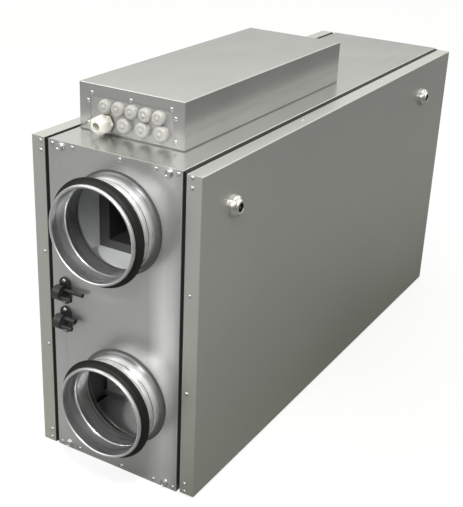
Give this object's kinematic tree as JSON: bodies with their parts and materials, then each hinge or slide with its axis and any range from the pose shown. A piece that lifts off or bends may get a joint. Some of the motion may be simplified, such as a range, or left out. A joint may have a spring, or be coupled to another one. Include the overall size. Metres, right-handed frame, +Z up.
{
  "type": "heat recovery unit",
  "caption": "Upright heat recovery ventilation unit with a double-skinned sheet-metal casing, side service door, fans, plate exchanger, filters, control box and round duct spigots.",
  "frame": {"origin": "under the middle of the casing, on the surface that the unit stands on", "axes": "+Z up, +Y along the casing from the front end to the rear end, +X towards the service door"},
  "size_m": [0.343, 1.216, 0.671],
  "materials": {
    "galvanised_sheet": "hot-dip galvanised sheet with a faint spangle, semi-bright",
    "bright_spigot_sheet": "bright galvanised spun sheet with fine turned lines",
    "painted_panel": "plain satin grey-green coated sheet",
    "mineral_wool": "pressed mineral wool",
    "black_rubber": "matt black rubber",
    "fan_plastic": "black glass-filled plastic",
    "impeller_plastic": "dark plastic",
    "motor_metal": "dark cast metal",
    "exchanger_aluminium": "thin plain aluminium sheet",
    "stainless_tray": "fine brushed stainless sheet",
    "filter_media": "pale pleated filter paper in a card frame",
    "actuator_plastic": "dark grey moulded plastic",
    "gland_plastic": "cloudy translucent grey plastic",
    "cable_gland_plastic": "cream white nylon",
    "circuit_board": "green lacquered board",
    "chrome_latch": "bright chrome",
    "latch_insert_metal": "dark nickel",
    "fastener_steel": "bright zinc",
    "port_plastic": "black moulded plastic"
  },
  "bodies": {
    "casing": {"casing_top": "galvanised_sheet", "casing_bottom": "galvanised_sheet", "front_end_plate": "galvanised_sheet", "rear_end_plate": "galvanised_sheet", "casing_insulation": "mineral_wool", "inner_liner": "galvanised_sheet", "left_panel_skin": "painted_panel", "left_panel_liner": "galvanised_sheet", "left_panel_gasket": "black_rubber", "door_gasket": "black_rubber", "front_upper_spigot": "bright_spigot_sheet", "front_lower_spigot": "bright_spigot_sheet", "rear_upper_spigot": "bright_spigot_sheet", "rear_lower_spigot": "bright_spigot_sheet", "front_upper_seal": "black_rubber", "front_lower_seal": "black_rubber", "rear_upper_seal": "black_rubber", "rear_lower_seal": "black_rubber", "fan_outlet_sleeves": "galvanised_sheet", "exhaust_fan_housing": "fan_plastic", "supply_fan_housing": "fan_plastic", "fan_motors": "motor_metal", "exchanger_core": "exchanger_aluminium", "exchanger_end_covers": "exchanger_aluminium", "exchanger_web": "galvanised_sheet", "bypass_duct": "galvanised_sheet", "bypass_actuator": "actuator_plastic", "chamber_dividers": "galvanised_sheet", "drain_tray": "stainless_tray", "outdoor_air_filter": "filter_media", "extract_air_filter": "filter_media", "filter_rails": "galvanised_sheet", "control_box_base": "galvanised_sheet", "control_box_cover": "galvanised_sheet", "gland_plate": "galvanised_sheet", "small_blind_glands": "gland_plastic", "large_blind_glands": "gland_plastic", "gland_locknuts": "gland_plastic", "cable_gland_seal": "black_rubber", "cable_gland_body": "cable_gland_plastic", "cable_gland_nut": "cable_gland_plastic", "control_board": "circuit_board", "hinge_brackets": "fastener_steel", "latch_keepers": "galvanised_sheet", "casing_rivets": "fastener_steel", "corner_screws": "fastener_steel", "upper_pressure_port": "port_plastic", "lower_pressure_port": "port_plastic", "port_screws": "fastener_steel"},
    "service_door": {"door_skin": "painted_panel", "door_insulation": "mineral_wool", "door_liner": "galvanised_sheet", "door_rivets": "fastener_steel", "latch_housings": "chrome_latch", "latch_nuts": "fastener_steel"},
    "front_latch": {"front_latch_barrel": "latch_insert_metal"},
    "rear_latch": {"rear_latch_barrel": "latch_insert_metal"},
    "exhaust_impeller": {"exhaust_fan_impeller": "impeller_plastic"},
    "supply_impeller": {"supply_fan_impeller": "impeller_plastic"},
    "bypass_damper": {"bypass_blade": "galvanised_sheet"}
  },
  "joints": [
    {"name": "door_hinge", "type": "hinge", "parent": "casing", "child": "service_door", "pos_m": [0.16, 0, 0.008], "axis": [0, 1, 0], "range_deg": [0, 90]},
    {"name": "front_latch_turn", "type": "hinge", "parent": "service_door", "child": "front_latch", "pos_m": [0.137, -0.442, 0.511], "axis": [1, 0, 0], "range_deg": [0, 90]},
    {"name": "rear_latch_turn", "type": "hinge", "parent": "service_door", "child": "rear_latch", "pos_m": [0.137, 0.384, 0.511], "axis": [-1, 0, 0], "range_deg": [0, 90]},
    {"name": "exhaust_fan_spin", "type": "hinge", "parent": "casing", "child": "exhaust_impeller", "pos_m": [0.0055, -0.335, 0.4105], "axis": [1, 0, 0], "continuous": true},
    {"name": "supply_fan_spin", "type": "hinge", "parent": "casing", "child": "supply_impeller", "pos_m": [0.0055, 0.335, 0.4105], "axis": [1, 0, 0], "continuous": true},
    {"name": "bypass_damper_turn", "type": "hinge", "parent": "casing", "child": "bypass_damper", "pos_m": [-0.10075, -0.16, 0.195], "axis": [0, 0.7071, -0.7071], "range_deg": [0, 90]}
  ]
}
